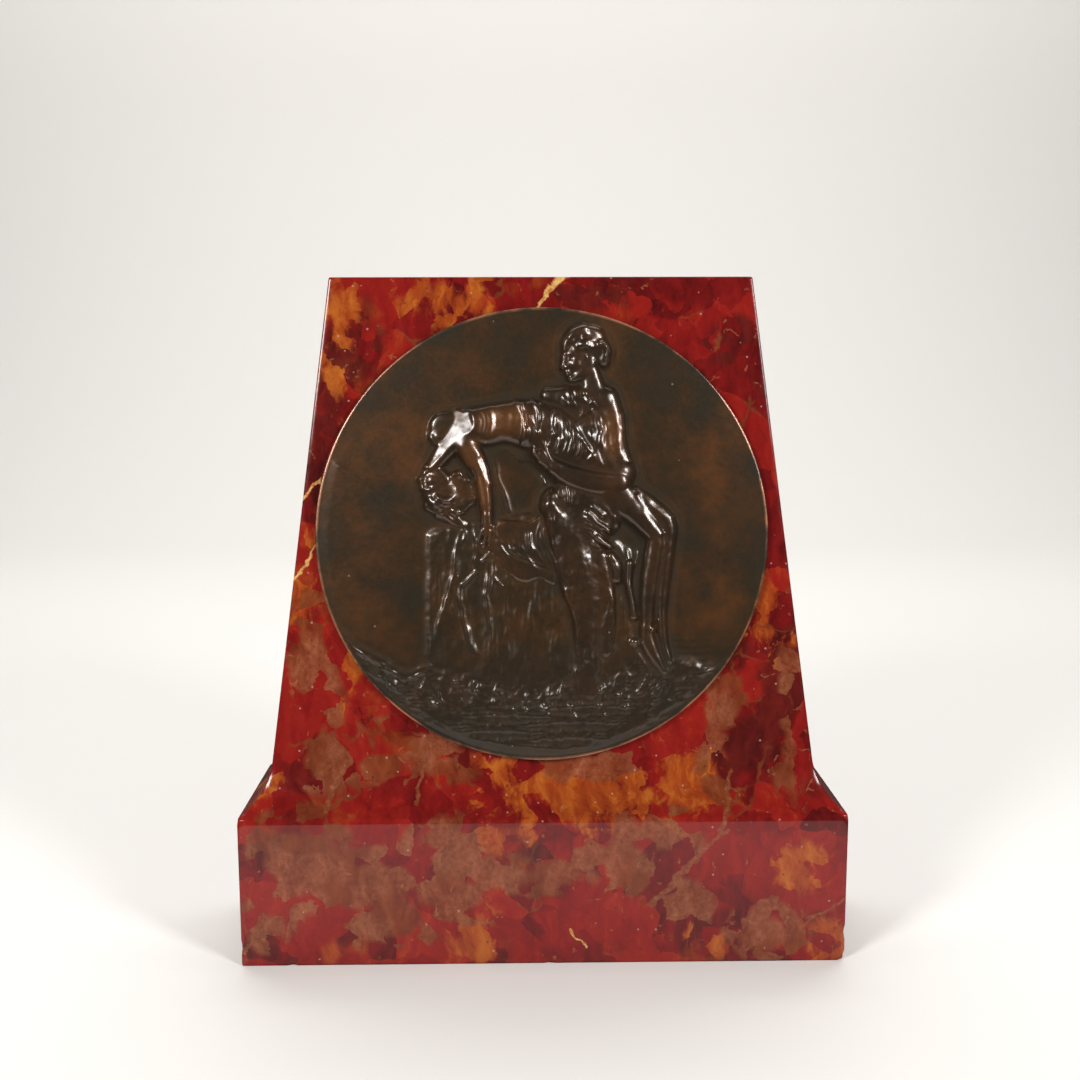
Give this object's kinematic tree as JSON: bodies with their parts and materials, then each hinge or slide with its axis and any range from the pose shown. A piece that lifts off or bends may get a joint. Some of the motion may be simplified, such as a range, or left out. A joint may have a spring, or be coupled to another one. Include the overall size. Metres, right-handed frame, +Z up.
{
  "type": "relief plaque on stand",
  "caption": "Round cast bronze relief plaque with a seated figure holding a limp one, fixed to the sloping front of a tapered polished red stone stand with a coved plinth.",
  "frame": {"origin": "centre of the plinth's underside", "axes": "+Z up, the plaque and the sloping front face -Y, the upright back faces +Y, +X to the right seen from the front"},
  "size_m": [0.29, 0.084, 0.327],
  "materials": {
    "red_stone": "polished breccia, red with orange, plum and rose-brown patches",
    "bronze": "dark brown patinated cast bronze, rubbed brighter on the high points"
  },
  "bodies": {
    "root": {"stone_stand": "red_stone", "relief_plaque": "bronze"}
  },
  "joints": []
}
